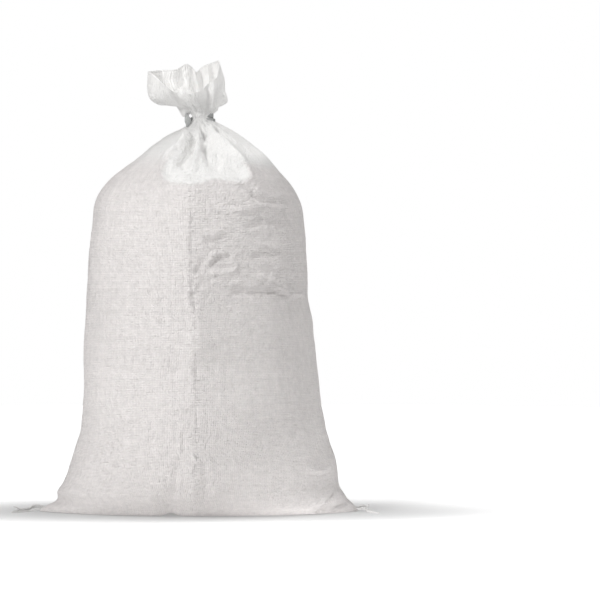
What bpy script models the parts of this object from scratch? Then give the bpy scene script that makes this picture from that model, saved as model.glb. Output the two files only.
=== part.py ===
"""A woven polypropylene sack, filled, tied at the neck and standing on its sewn bottom.

Metres, +Z up. The origin is on the floor, midway between the two ends of the bottom
seam. The seam runs along X, and -Y is the front of the sack.
"""

from math import atan2, cos, pi, sin, sqrt

import bmesh
import bpy
from mathutils import Matrix, Vector

# The empty sack, laid flat
FLAT_WIDTH = 0.500
GIRTH = 2 * FLAT_WIDTH

# The filled sack as it stands
FOOT_HALF_WIDTH = 0.178
FOOT_HALF_DEPTH = 0.100
EAR_REACH = 0.237  # of the cage; the rounded ear ends about 22 mm inside it
EAR_HEIGHT = 0.012
SHOULDER_DEPTH = 1.15  # half depth over half width, where the cloth is drawn in
NECK_HEIGHT = 0.534
NECK_STRETCH = 0.009
NECK_CENTRE_X = 0.0055
NECK_HALF_WIDTH = 0.0155
NECK_HALF_DEPTH = 0.0135
MOUTH_RUFFLE = 0.14
MOUTH_RUFFLES = 5
RIM_HEIGHT = 0.598
RIM_FRONT_DROP = 0.022
RIM_PEAK = 0.0165
RIM_PEAK_ANGLE = 0.7

# The cloth, and the packed pleats that nearly close the neck
WALL = 0.0012
PLEATED_WALL = 0.0085
GAP = 0.0004

# The tie
TAPE_THICKNESS = 0.0010
TAPE_HALF_WIDTH = 0.0035
TIE_CLEARANCE = 0.0012
LOOP_STAND_OFF = 0.0060  # how far the tape leaves the neck at the left
LOOP_HALF_WIDTH = 0.0065
KNOT_RADII = (0.0070, 0.0042, 0.0055)

# The thread ends
THREAD_DIAMETER = 0.0024
THREAD_STEP = 2.5 * THREAD_DIAMETER

COLUMNS = 20
TIE_SEGMENTS = 36
THREAD_SIDES = 2

# Half way round, the surface lies this much inside a regular cage of COLUMNS corners
CAGE_SHRINK = (4 + 2 * cos(2 * pi / COLUMNS)) / 6

# Height, left and right edge of the sack seen from the front, and the share of its girth
# that is filled out there; creases take up the rest
BODY_ROWS = (
    (0.042, -0.1870, 0.1900, 1.00),
    (0.076, -0.1690, 0.1865, 1.00),
    (0.118, -0.1570, 0.1730, 1.00),
    (0.190, -0.1535, 0.1635, 0.99),
    (0.300, -0.1490, 0.1490, 0.97),
    (0.400, -0.1415, 0.1455, 0.92),
)
SHOULDER_ROWS = (
    (0.446, -0.1270, 0.1290),
    (0.476, -0.0930, 0.1010),
    (0.500, -0.0560, 0.0740),
    (0.516, -0.0250, 0.0440),
)
# Height of the contents' heaped top, and its share of the topmost body row
HEAP_ROWS = (
    (0.434, 0.84),
    (0.449, 0.45),
)
# Height, left and right edge, and half depth of the flared mouth below its rim
MOUTH_ROWS = (
    (0.553, -0.0360, 0.0270, 0.0240),
    (0.568, -0.0640, 0.0340, 0.0360),
    (0.588, -0.0700, 0.0370, 0.0430),
)
RIM_EDGES = (-0.0710, 0.0380, 0.0440)

# Each thread end lies on the floor from the tip of its ear
THREAD_LEFT = (
    (-0.2157, 0.0000, 0.0054),
    (-0.2200, -0.0010, 0.0054),
    (-0.2240, -0.0030, 0.0050),
    (-0.2290, -0.0060, 0.0030),
    (-0.2340, -0.0100, 0.0015),
    (-0.2400, -0.0150, 0.0013),
    (-0.2450, -0.0210, 0.0013),
    (-0.2490, -0.0280, 0.0013),
)
THREAD_RIGHT = (
    (0.2157, 0.0000, 0.0054),
    (0.2200, -0.0020, 0.0054),
    (0.2235, -0.0060, 0.0048),
    (0.2270, -0.0110, 0.0030),
    (0.2310, -0.0170, 0.0015),
    (0.2350, -0.0240, 0.0013),
    (0.2390, -0.0310, 0.0013),
    (0.2440, -0.0380, 0.0013),
)


def clear_scene():
    for thing in list(bpy.data.objects):
        bpy.data.objects.remove(thing, do_unlink=True)


def new_material(name, colour, roughness):
    material = bpy.data.materials.new(name)
    material.use_nodes = True
    shader = material.node_tree.nodes["Principled BSDF"]
    shader.inputs["Base Color"].default_value = (*colour, 1.0)
    shader.inputs["Roughness"].default_value = roughness
    shader.inputs["Metallic"].default_value = 0.0
    return material


def add_object(name, data, collection, material):
    thing = bpy.data.objects.new(name, data)
    thing.data.materials.append(material)
    collection.objects.link(thing)
    return thing


def ellipse_length(half_width, half_depth):
    """Ramanujan's first formula for the length of an ellipse."""
    total = half_width + half_depth
    return pi * (3 * total - sqrt((total + 2 * half_width) * (total + 2 * half_depth)))


def depth_from_girth(half_width, share=1.0):
    """The half depth at which a share of the cloth's girth has this half width."""
    low, high = 0.0, GIRTH / 4
    while high - low > 1e-5:
        middle = (low + high) / 2
        if ellipse_length(half_width, middle) < share * GIRTH:
            low = middle
        else:
            high = middle
    return low


def ring(height, left, right, half_depth, ear=0.0, ruffle=0.0):
    """One row of the cage, anticlockwise from +X, with ears at both ends of the seam."""
    centre = (left + right) / 2
    half_width = (right - left) / 2
    points = []
    for column in range(COLUMNS):
        angle = 2 * pi * column / COLUMNS
        swell = (1 + ruffle * cos(MOUTH_RUFFLES * angle)) / CAGE_SHRINK
        x = centre + half_width * swell * cos(angle)
        y = half_depth * swell * sin(angle)
        if ear and column % (COLUMNS // 2) == 0:
            x = ear if column == 0 else -ear
        points.append(Vector((x, y, height)))
    return points


def rim_ring():
    """The mouth's free edge: low at the front, with one peak at the back right."""
    left, right, half_depth = RIM_EDGES
    points = ring(RIM_HEIGHT, left, right, half_depth, ruffle=MOUTH_RUFFLE)
    for column, point in enumerate(points):
        angle = 2 * pi * column / COLUMNS
        point.z -= RIM_FRONT_DROP * max(0.0, -sin(angle))
        point.z += RIM_PEAK * max(0.0, cos(angle - RIM_PEAK_ANGLE)) ** 4
    return points


def foot_rings():
    """The flat underside, from near its middle out to the edge, then the ears' upper row."""
    rings = []
    for share in (0.45, 0.88):
        edge = share * FOOT_HALF_WIDTH
        rings.append(ring(0.0, -edge, edge, share * FOOT_HALF_DEPTH))
    edge = FOOT_HALF_WIDTH
    rings.append(ring(0.0, -edge, edge, FOOT_HALF_DEPTH, ear=EAR_REACH))
    edge = (BODY_ROWS[0][2] - BODY_ROWS[0][1]) / 2
    depth = (FOOT_HALF_DEPTH + depth_from_girth(edge)) / 2
    rings.append(ring(EAR_HEIGHT, -edge, edge, depth, ear=EAR_REACH))
    return rings


def body_rings():
    rings = []
    for height, left, right, share in BODY_ROWS:
        half_depth = depth_from_girth((right - left) / 2, share)
        rings.append(ring(height, left, right, half_depth))
    return rings


def drawn_in_rings():
    rings = []
    for height, left, right in SHOULDER_ROWS:
        rings.append(ring(height, left, right, SHOULDER_DEPTH * (right - left) / 2))
    return rings


def neck_rings():
    rings = []
    for step in (-1, 0, 1):
        left = NECK_CENTRE_X - NECK_HALF_WIDTH
        right = NECK_CENTRE_X + NECK_HALF_WIDTH
        height = NECK_HEIGHT + step * NECK_STRETCH
        rings.append(ring(height, left, right, NECK_HALF_DEPTH))
    return rings


def mouth_rings():
    rings = []
    for share, (height, left, right, half_depth) in enumerate(MOUTH_ROWS, start=1):
        ruffle = MOUTH_RUFFLE * share / len(MOUTH_ROWS)
        rings.append(ring(height, left, right, half_depth, ruffle=ruffle))
    rings.append(rim_ring())
    return rings


def loft(name, rings, closed_top):
    """A cage of quads through the rings, closed below by one face."""
    work = bmesh.new()
    rows = [[work.verts.new(point) for point in points] for points in rings]
    work.faces.new(list(reversed(rows[0])))
    for lower, upper in zip(rows, rows[1:]):
        for column in range(COLUMNS):
            after = (column + 1) % COLUMNS
            corners = (lower[column], lower[after], upper[after], upper[column])
            work.faces.new(corners)
    if closed_top:
        work.faces.new(rows[-1])
    mesh = bpy.data.meshes.new(name)
    work.to_mesh(mesh)
    work.free()
    mesh.shade_smooth()
    return mesh


def smooth_cage(thing):
    """One round of subdivision, then triangles, so that neighbours share their facets."""
    subdivision = thing.modifiers.new("round", "SUBSURF")
    subdivision.levels = 1
    subdivision.render_levels = 1
    facets = thing.modifiers.new("facets", "TRIANGULATE")
    facets.quad_method = "FIXED"


def make_woven_sack(collection):
    """The cloth: one tube, sewn below, drawn in to the neck and open at the mouth."""
    below_neck = foot_rings() + body_rings() + drawn_in_rings()
    rings = below_neck + neck_rings() + mouth_rings()
    mesh = loft("woven_sack", rings, closed_top=False)
    material = new_material("woven_polypropylene", (0.84, 0.84, 0.83), 0.45)
    sack = add_object("woven_sack", mesh, collection, material)
    pleats = sack.vertex_groups.new(name="pleats")
    first = len(below_neck) * COLUMNS
    pleats.add(list(range(first, first + 3 * COLUMNS)), 1.0, "REPLACE")
    smooth_cage(sack)
    cloth = sack.modifiers.new("cloth", "SOLIDIFY")
    cloth.thickness = PLEATED_WALL
    cloth.offset = -1.0
    cloth.vertex_group = pleats.name
    cloth.thickness_vertex_group = WALL / PLEATED_WALL
    return sack


def make_fill(collection):
    """The contents: the same shape as the cloth up to the shoulder, then a low heap."""
    rings = foot_rings() + body_rings()
    _, left, right, filled = BODY_ROWS[-1]
    half_depth = depth_from_girth((right - left) / 2, filled)
    for height, share in HEAP_ROWS:
        rings.append(ring(height, share * left, share * right, share * half_depth))
    mesh = loft("fill", rings, closed_top=True)
    fill = add_object("fill", mesh, collection, new_material("loose_fill", (0.55, 0.47, 0.36), 0.9))
    smooth_cage(fill)
    inset = fill.modifiers.new("inset", "DISPLACE")
    inset.mid_level = 0.0
    inset.strength = -(WALL + GAP)
    return fill


def make_neck_tie(collection):
    """A flat tape round the neck, loose at the left and knotted at the back."""
    work = bmesh.new()
    bmesh.ops.create_cone(
        work, cap_ends=False, segments=TIE_SEGMENTS, radius1=1.0, radius2=1.0, depth=2.0
    )
    for corner in work.verts:
        angle = atan2(corner.co.y, corner.co.x)
        loose = max(0.0, -cos(angle)) ** 4
        reach = TIE_CLEARANCE + LOOP_STAND_OFF * loose
        half = TAPE_HALF_WIDTH + (LOOP_HALF_WIDTH - TAPE_HALF_WIDTH) * loose
        corner.co.x = NECK_CENTRE_X + (NECK_HALF_WIDTH + reach) * cos(angle)
        corner.co.y = (NECK_HALF_DEPTH + TIE_CLEARANCE) * sin(angle)
        corner.co.z = NECK_HEIGHT + half * corner.co.z
    mesh = bpy.data.meshes.new("neck_tie")
    work.to_mesh(mesh)
    work.free()
    tie = add_object("neck_tie", mesh, collection, new_material("tie_tape", (0.36, 0.37, 0.37), 0.5))
    tape = tie.modifiers.new("tape", "SOLIDIFY")
    tape.thickness = TAPE_THICKNESS
    tape.offset = 1.0
    knot = make_knot()
    join = tie.modifiers.new("knot", "BOOLEAN")
    join.operation = "UNION"
    join.solver = "EXACT"
    join.object = knot
    return tie


def make_knot():
    work = bmesh.new()
    bmesh.ops.create_uvsphere(work, u_segments=14, v_segments=8, radius=1.0)
    bmesh.ops.transform(work, matrix=Matrix.Diagonal((*KNOT_RADII, 1.0)), verts=work.verts)
    mesh = bpy.data.meshes.new("knot")
    work.to_mesh(mesh)
    work.free()
    knot = bpy.data.objects.new("knot", mesh)
    behind = NECK_HALF_DEPTH + TIE_CLEARANCE + KNOT_RADII[1]
    knot.location = (NECK_CENTRE_X, behind, NECK_HEIGHT)
    knot.hide_render = True
    knot.display_type = "WIRE"
    new_collection("cutters").objects.link(knot)
    return knot


def smooth_route(points):
    """A Catmull-Rom curve through the points, read off every THREAD_STEP or so."""
    ends = [2 * points[0] - points[1], *points, 2 * points[-1] - points[-2]]
    fine = []
    for a, b, c, d in zip(ends, ends[1:], ends[2:], ends[3:]):
        for step in range(12):
            t = step / 12
            fine.append(
                0.5
                * (
                    2 * b
                    + (c - a) * t
                    + (2 * a - 5 * b + 4 * c - d) * t**2
                    + (3 * b - a - 3 * c + d) * t**3
                )
            )
    fine.append(points[-1])
    route = [fine[0]]
    for point in fine[1:-1]:
        if (point - route[-1]).length >= THREAD_STEP:
            route.append(point)
    if (route[-1] - fine[-1]).length < THREAD_STEP / 2:
        route.pop()
    route.append(fine[-1])
    return route


def make_thread(name, points, collection, material):
    """A free end of the sewing thread, as one round tube."""
    route = smooth_route([Vector(point) for point in points])
    curve = bpy.data.curves.new(name, "CURVE")
    curve.dimensions = "3D"
    curve.bevel_depth = THREAD_DIAMETER / 2
    curve.bevel_resolution = THREAD_SIDES
    curve.use_fill_caps = True
    spline = curve.splines.new("POLY")
    spline.points.add(len(route) - 1)
    for slot, point in zip(spline.points, route):
        slot.co = (*point, 1.0)
    return add_object(name, curve, collection, material)


def new_collection(name):
    collection = bpy.data.collections.new(name)
    bpy.context.scene.collection.children.link(collection)
    return collection


def main():
    clear_scene()
    collection = new_collection("woven_polypropylene_sack")
    make_woven_sack(collection)
    make_fill(collection)
    make_neck_tie(collection)
    thread = new_material("sewing_thread", (0.80, 0.80, 0.78), 0.8)
    make_thread("thread_tail_left", THREAD_LEFT, collection, thread)
    make_thread("thread_tail_right", THREAD_RIGHT, collection, thread)


main()
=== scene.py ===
"""Looks of a woven polypropylene sack: filled, tied at the neck and standing on its sewn bottom.

Metres, +Z up. The bottom seam runs along X, and -Y is the front. Tables of places are
written in millimetres where metres() reads them.
"""

from math import cos, pi, radians, sin

import bmesh
import bpy
import numpy as np
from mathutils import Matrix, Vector, noise


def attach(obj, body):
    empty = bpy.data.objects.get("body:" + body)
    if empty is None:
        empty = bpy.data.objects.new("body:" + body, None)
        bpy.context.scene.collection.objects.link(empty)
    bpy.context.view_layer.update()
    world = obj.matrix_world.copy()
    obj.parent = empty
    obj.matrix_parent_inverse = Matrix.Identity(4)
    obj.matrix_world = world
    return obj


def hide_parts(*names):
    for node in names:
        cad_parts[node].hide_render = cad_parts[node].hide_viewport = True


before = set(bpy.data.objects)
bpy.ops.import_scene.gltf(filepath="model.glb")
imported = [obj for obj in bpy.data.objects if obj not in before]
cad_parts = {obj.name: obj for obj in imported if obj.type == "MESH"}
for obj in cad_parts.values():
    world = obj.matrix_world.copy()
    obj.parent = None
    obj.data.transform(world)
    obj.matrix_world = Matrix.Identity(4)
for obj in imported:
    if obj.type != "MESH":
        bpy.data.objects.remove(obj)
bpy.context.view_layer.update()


def metres(table):
    """The lengths of a table in millimetres, in metres."""
    if isinstance(table, tuple):
        return tuple(metres(part) for part in table)
    return round(table / 1000, 7)


# The photograph's view
VIEW_CENTRE = Vector((0.138, 0.0, 0.286))
VIEW_WIDTH = 0.812
VIEW_DISTANCE = 3.0
VIEW_TILT = radians(0.6)
EYE = np.array(VIEW_CENTRE) + VIEW_DISTANCE * np.array([0.0, -cos(VIEW_TILT), sin(VIEW_TILT)])
SENSOR_MILLIMETRES = 36.0

# The cloth: columns run up from the bottom seam, rows run round the sack
GIRTH = 1.0
COLUMNS = 360
ROW_STEP = 0.0036
SEAM_ROWS = 8
MOUTH_STEPS = 40
CLOTH_THICKNESS = 0.0006
FLOOR_CLEARANCE = 0.0006

# Height, left edge, right edge and half depth of the sack, seen from the front
OUTLINE = metres((
    (0, -215, 216.5, 78), (2.5, -213.5, 215.5, 81), (5, -211, 213.5, 84), (7.5, -206.5, 211, 87),
    (9.5, -199.5, 209, 89), (11.5, -194.5, 206.5, 92), (14, -190.5, 203, 94), (17, -190, 200.5, 97),
    (21.5, -190.5, 198, 101), (25.3, -192.2, 195.5, 105), (29.5, -190.5, 191.5, 109),
    (38, -183, 189.5, 116), (55, -176, 188.5, 127), (77, -169, 186, 138), (90, -165.5, 179, 143),
    (109, -158.4, 174.3, 149), (130, -157.8, 169.1, 152), (178, -154.2, 163.7, 156),
    (216, -153.2, 159.3, 158), (245, -151.8, 155.2, 159), (269, -150.7, 152.3, 159),
    (281, -150.3, 146.8, 159), (320, -148.8, 148.8, 158), (354, -147.5, 147.5, 156),
    (395, -142, 143.4, 151), (422, -138, 139.4, 145), (435, -129.9, 129.9, 140),
    (449, -119, 119, 131), (462, -102.8, 105.5, 117), (476, -82.5, 94.7, 99),
    (489, -64.9, 79.8, 79), (503, -48.7, 60.9, 58), (516, -23, 41.9, 35), (520.5, -15, 32.5, 26),
    (527, -9.5, 21, 15.5),
))
FOOT_SOFTNESS, BODY_SOFTNESS = 0.0024, 0.0090  # how far the outline's corners are rounded
BODY_FROM, BODY_TO = (0.040, 0.085), (0.485, 0.510)  # where the one turns into the other
OUTLINE_STEP = 0.0005

# The foot's front and back edges curve under, and its corners stand out as flat ears
UNDER_HEIGHT = 0.014
CONTACT_HALF_DEPTH = 0.066
FOOT_HALF_WIDTH = 0.176
EAR_FREE_HEIGHT = 0.034
EAR_SHARPNESS = 14
EAR_WEDGE = (0.30, 0.022)  # how flat an ear is at the floor, and how high it is before it is all flat
EAR_ROOT = 0.02  # it is fully flat where it stands out this far
EAR_THINNING = 1.5
SEAM_TIP = 0.2146
BOXY, PINCHED = 0.62, 1.35  # powers that shape the plan: at the floor, and where it is sharpest
PINCHED_HEIGHT = 0.045
ROUND_HEIGHT = 0.15
# A lifted bit in front: place, half width, rise and height
FOOT_NOTCH = (-0.0330, 0.0085, 0.0040, 0.05)

# The contents, which the cloth hides
HEAP_HEIGHT = 0.430
HEAP_TOP = 0.447
HEAP_RINGS = (0.9, 0.7, 0.45, 0.2)
CONTENTS_INSET = 0.005
CONTENTS_COLUMNS, CONTENTS_ROW_STEP = 72, 4

# The neck
NECK_CENTRE = 0.0055
NECK_HALF_WIDTH, NECK_HALF_DEPTH = 0.0150, 0.0130
NECK_TOP = 0.5385

# The tie sits in a groove: height and share of the neck's width of each ring of points
NECK_RINGS = ((0.5288, 0.95), (0.5304, 0.90), (0.5322, 0.88), (0.5340, 0.90), (0.5362, 0.95))

# The mouth. Round from the right by way of the back: how far along a girth of a metre, then a
# point low in the flare, one half way up and one on the rim. Each is its place as the front view
# shows it, right and up, and how far behind the sack's middle it is
MOUTH = metres((
    (0, (33.5, 550, 2), (37.2, 580, 2), (29.2, 610.7, 2)),
    (40, (27, 552, 14), (31, 578, 18), (25, 608.8, 16)),
    (90, (19, 553, 19), (22.5, 578, 27), (18.5, 606.5, 30)),
    (140, (13, 553, 15), (15, 578, 21), (11.5, 604.5, 23)),
    (190, (8, 552, 21), (7, 577, 31), (1.8, 598, 34)),
    (235, (4, 552, 15), (0.5, 572, 19), (-2.7, 592.5, 17)),
    (280, (0, 552, 20.5), (-4.5, 577, 30), (-7, 600.3, 32)),
    (325, (-5, 551, 17), (-12, 577, 25), (-15.6, 606, 27)),
    (370, (-10, 550, 19), (-19.5, 576, 31), (-21.5, 602, 36)),
    (415, (-18, 550, 12), (-31, 575, 19), (-33, 596.9, 23)),
    (455, (-36, 550, 10), (-50, 574, 17), (-52, 596.9, 19)),
    (500, (-56, 549.7, 0), (-69.3, 564, -2), (-70, 594.4, -12)),
    (530, (-44, 549, -8), (-63, 560, -16), (-64, 594.4, -36)),
    (560, (-32, 548.5, -12), (-50, 560, -25), (-50, 581.2, -42)),
    (600, (-20, 547.5, -17), (-36, 559, -31), (-40, 572, -44)),
    (640, (-12, 546.5, -15), (-24.5, 556.5, -27), (-29, 564.5, -29)),
    (680, (-6, 546, -19), (-16.5, 564, -27), (-20.8, 578.8, -20)),
    (720, (-2, 546, -17), (-11, 558, -33), (-17, 569, -36)),
    (765, (3, 546, -21), (-2, 557, -37), (-6, 565.5, -43)),
    (810, (9, 546, -20), (6, 559, -34), (5.1, 568.5, -38)),
    (855, (13, 547, -15), (14, 564, -23), (14, 579, -21)),
    (900, (20, 548, -19), (22, 566, -28), (21, 583.5, -27)),
    (940, (27, 550, -14), (29, 569, -20), (26.2, 588, -17)),
    (970, (42.5, 555, -8), (34.5, 574, -9), (28.5, 600, -8)),
))
MOUTH_STATIONS = (0.0, 0.09, 0.20, 0.42, 0.70, 1.0)
# Where the flare starts to spread, how much it rises there, and over what width
ARMPIT = (0.45, 0.0050, 0.040)
# Where it hangs on the way out, how low, and the spread where that starts and is full
DROOP = (0.22, 0.0070, 0.020, 0.045)
FACET_SOFTNESS = 3.2  # columns over which the mouth's flat facets turn into each other

# How the mouth is shut inside the tie: share of the neck's width, and depth below its top
SHUT = ((0.60, 0.0030), (0.30, 0.0055), (0.02, 0.0070))

# Where the cloth hangs empty under the tie, seen from the front
EMPTY = metres((
    (-4.1, 515.1), (-13.5, 511), (-24.4, 500.2), (-35.2, 488.6), (-45.6, 471.2), (-49.5, 460.6),
    (-47.2, 450), (-39.8, 445.2), (-24.4, 442.8), (-9.5, 441.6), (6, 444), (19, 447.8), (42, 446.2),
    (62, 445.6), (71.3, 451.9), (68.5, 463.7), (60.8, 474.1), (39.4, 490.6), (31.7, 502.1),
    (24.9, 514.7), (16.2, 519.2),
))
EMPTY_DIP = 0.008
EMPTY_BANK = 0.014
EMPTY_LIP = 0.0015
EMPTY_LIP_WIDTH = 0.0035

# Folds seen from the front: points along each, its width at both ends and its rise at both ends.
# These run down the middle of the front, sharp along the top
KEELS = metres((
    (((-8.8, 465.3), (-8.1, 300), (-4.1, 286.4), (-3, 190)), (33, 38), (9, 13.5)),
    (((-2.5, 250), (0, 6.7)), (34, 38), (4.4, 4)),
))
# These are rounded folds and grooves
FRONT_FOLDS = metres((
    # the skirt under the tie
    (((-2.7, 516.5), (-6.8, 502.9), (-13.5, 493.4), (-20.3, 482.6), (-25, 470)), (3.4, 8), (-9.6, -7)),
    (((4, 516.5), (-0.4, 499), (-3.8, 485), (-9.8, 459)), (3, 6.4), (7, 4.4)),
    (((3.7, 521.4), (9.8, 507.5)), (1.7, 2.4), (-7, -5)),
    (((9.1, 501.6), (12.2, 492.1), (16.2, 485.3), (24.4, 479.9), (36, 474)), (4.8, 10), (-9.6, -8)),
    (((14, 520), (25, 507), (37.9, 497), (52.8, 482), (67, 468)), (3.2, 6.6), (7.4, 4.6)),
    (((23.5, 518), (30, 511), (39.2, 505), (50, 496)), (2.6, 5), (-6.6, -2)),
    (((-17.6, 519.2), (-20, 506), (-29, 494)), (2.6, 4), (4, 1.6)),
    (((-28.4, 492.1), (-40.6, 485.3), (-46, 475.8), (-50, 465), (-48.7, 451.5)), (3, 3), (3, 2.4)),
    (((-40.6, 478), (-43, 468), (-40, 456)), (4, 4.5), (-3.6, -2)),
    (((23, 457.5), (42, 454), (59, 454.5)), (3, 3), (1.8, 2)),
    (((6, 450), (26, 447.8), (54, 447.8)), (2.4, 2.4), (-1.4, -1.6)),
    # beside the crease down the front
    (((6.1, 372.2), (22, 374), (35.2, 378.4)), (3.4, 3.4), (3, 2)),
    (((6.1, 366), (24, 367.2), (42, 373)), (3, 3), (-2.4, -1.6)),
    (((16, 329), (25, 340), (45, 345.1)), (3, 3.6), (-2.5, -2)),
    (((11, 333), (20, 346), (42, 351.2)), (3.4, 3.6), (3.4, 2.2)),
    (((46, 342), (52, 333), (48, 325)), (3, 3.4), (3.4, 1.8)),
    (((-3, 320), (3, 330), (6, 340)), (2.6, 3), (-2.4, -1.6)),
    (((-8, 326), (-4, 338)), (2.8, 2.8), (2.6, 1.8)),
    (((-2, 296), (3, 306), (12, 312)), (2.6, 3), (-2.4, -1.6)),
    (((12, 324), (33, 320), (56, 326)), (3.6, 3.6), (2.6, 1.8)),
    (((16, 310), (38, 306), (60, 312)), (3.4, 3.4), (2, 2)),
    (((-14.9, 296), (-11, 283), (-6, 270.5)), (3, 2.6), (3.4, 1.4)),
    (((-9, 295), (-4, 284), (-1, 274)), (2.6, 2.4), (-2.1, -1)),
    # the crossed creases at the right, and the level one
    (((80.6, 322.4), (93, 312), (105.5, 305.8), (126, 295.5), (147, 297.5)), (4, 4.2), (4, 6.4)),
    (((84, 311), (100, 299), (120, 290.5)), (3.6, 4), (-1.4, -2.8)),
    (((128.4, 329), (124, 320), (113, 311)), (3.4, 3.6), (3.6, 1.6)),
    (((136, 340), (130, 333)), (3.6, 3.6), (2, 2)),
    (((126, 294), (118, 284), (111, 274)), (4, 4), (2.8, 1)),
    (((42, 294.5), (70, 295.5), (108, 294)), (4, 4.4), (-3.2, -3)),
    (((-69, 297), (-55, 300), (-42, 296)), (3.2, 3.2), (-3, -3)),
    # long ones at the upper right
    (((50, 406), (86, 413), (124, 408)), (4, 3.4), (2.2, 2.6)),
    (((62, 386), (96, 390), (133, 383)), (3.8, 3.4), (-2.2, -2.6)),
    (((76, 434), (96, 425), (118, 423)), (3.6, 3.8), (2.8, 2.2)),
    (((68, 429), (88, 419), (108, 415)), (3.4, 3.6), (-2.6, -2)),
    (((76, 362), (110, 356), (140, 364)), (4, 3.6), (2, 2.2)),
    (((70, 342), (90, 348), (108, 343)), (3.6, 3.4), (-2, -2)),
    # beside the foot's lifted bit, and over the right ear
    (((-32, 70), (-30, 40), (-33, 15)), (3.4, 4), (-1.4, -2.6)),
    (((8, 64), (9.5, 30), (6, 10)), (3.4, 4), (-1.4, -2.4)),
    (((96.7, 130), (118, 132.5), (143.4, 130.2)), (3.4, 3.4), (2.8, 2.2)),
    (((143.4, 61.8), (159, 55.7), (180.8, 61.8)), (4, 4), (3.8, 3.4)),
    (((159, -3), (174, 12), (187, 28)), (3.5, 3.5), (-2.4, -4)),
))

# The shares of a fold's length over which it starts and ends, and how little is left at its tips
FOLD_ENDS = (0.12, 0.20, 0.02)
KEEL_ROUNDING = 0.01
FRONT_FACING = (0.02, 0.35)  # how far cloth has to face the front for these folds to show on it

# Lines that the cloth was folded along before it was filled: the middle one as X at each height,
# the crosswise one as Z at each X
MIDDLE_CREASE = metres(((6.7, 0), (220, -2), (286.4, -4.1), (300, -8.1), (465.3, -8.8)))
CROSS_CREASE = metres(((-151.5, 296.4), (-92, 298.6), (-14.9, 294.8), (59.5, 294.8), (147.5, 299.5)))
CREASE_DEPTH = 0.0013
CREASE_WIDTH = 0.0026
# Where a crease breaks off: the pattern's scale, its gain and offset, and the least that is left
CREASE_BREAKS = (38.0, 2.4, -0.6, 0.35)
PUCKERS = (0.0090, 0.0040)  # how far they reach from the middle crease, and their height
PUCKER_SCALES = (90.0, 200.0)

# Wrinkled stretches: X and Z of the middle, half width, half height, and how strong the
# crosswise and the upright wrinkles are there
WRINKLED = (
    (0.0750, 0.4050, 0.075, 0.045, 0.9, 0.1),
    (0.0300, 0.3450, 0.045, 0.040, 1.0, 0.4),
    (0.1150, 0.3050, 0.045, 0.035, 0.9, 0.3),
    (0.0900, 0.2300, 0.090, 0.080, 0.5, 0.3),
    (0.1200, 0.1300, 0.050, 0.030, 0.8, 0.2),
    (-0.0900, 0.3800, 0.070, 0.070, 0.35, 0.25),
    (-0.0900, 0.2200, 0.080, 0.090, 0.45, 0.40),
    (-0.0100, 0.0600, 0.070, 0.060, 0.3, 0.9),
    (-0.1200, 0.0900, 0.060, 0.070, 0.45, 0.5),
    (0.1200, 0.0500, 0.070, 0.050, 0.3, 0.3),
)
WRINKLED_ELSEWHERE = 0.22
CROSSWISE = (30.0, 105.0, 0.0048)  # wrinkles to a metre round and up, and their height
UPRIGHT = (105.0, 30.0, 0.0062)
WANDER = (22.0, 0.03)  # how these bend: how many bends to a metre, and how far
CRINKLES = ((85.0, 0.0048), (240.0, 0.0013))  # all over: how many to a metre, and height
TAPE_RELIEF = 0.0006
EMPTY_TAPE_RELIEF = 0.35  # the share of it that shows where the cloth is empty

# Pleats that the tie gathers: how many round the neck, their depth at the tie, their greatest
# depth, how far from the tie that is, and how far they run
FINE_PLEATS = (21, 0.0006, 0.0022, 0.012, 0.040)
BROAD_PLEATS = (10, 0.0000, 0.0030, 0.045, 0.110)
MOUTH_PLEATS = (21, 0.0006, 0.0012, 0.009, 0.026)
FRONT_PLEATS = 0.25  # the share of the shoulder's pleats that is left where front folds take over
PLEAT_WAVES = ((2, 0.45), (3, 0.40), (5, 0.30), (7, 0.20))  # what makes them uneven

# The tapes that the cloth is woven from
TAPE_PITCH = 0.0023
TAPE_DRIFT = (60.0, 0.8)  # how they wander: how many wanders to a metre, and how many tapes wide
# the tapes' contrast, and painted shade where they dip, at their edges and between them
TAPE_CONTRAST, TAPE_EDGE_SHADE = 0.065, 0.10
CLOTH_LIGHTNESS = 0.97
CLOTH_ROUGHNESS = (0.36, 0.48)
MOTTLE_SCALE, MOTTLE = 9.0, 0.06
GRAIN_SCALE = 110.0
GRAIN, EMPTY_GRAIN = 0.27, 0.054  # mottling in the cloth's shade, where it is filled and empty
STREAK_SCALES, STREAKS = (55.0, 380.0), 0.09  # streaks along its tapes
FILLED_COLOUR = (0.803, 0.768, 0.756)
EMPTY_COLOUR = (0.800, 0.793, 0.781)
EMPTY_SHADE = -0.05  # how much lighter the tapes themselves are where the cloth is empty
PAINTED_GLOW = 0.115  # painted glow where the cloth is empty, standing in for light that comes through it
EMPTY_ABOVE_HEAP = (HEAP_TOP + 0.006, HEAP_TOP + 0.045)  # between these heights it turns empty
PAINTED_GLOW_SPOT = (0.088, 0.485, 0.042, 2.0)  # where more of the painted glow shows, as if lit from behind: X, Z, size and how much more
MOUTH_EMPTY_AND_GLOW, LINING_EMPTY_AND_GLOW = 2.2, 2.9  # how much more painted glow there is in the mouth, outside and inside, which also makes it count as empty
MOUTH_GLOW_FROM = (0.500, 0.535)  # between these heights it grows to that
FLAP_GLOW_DIMMING = (0.020, 0.060, 0.50)  # the painted glow is weaker on the flap at the left: how far left, and its share

# Wrinkles all over: size and depth
SWELLS = (0.075, 0.0030)
CRUMPLES = (0.030, 0.0016)
MOUTH_CRUMPLES = (0.020, 0.0012)
PATCH_SIZE = 0.11  # of the stretches that are crumpled more
SMOOTH_FOOT = 0.02  # below this height they fade

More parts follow.
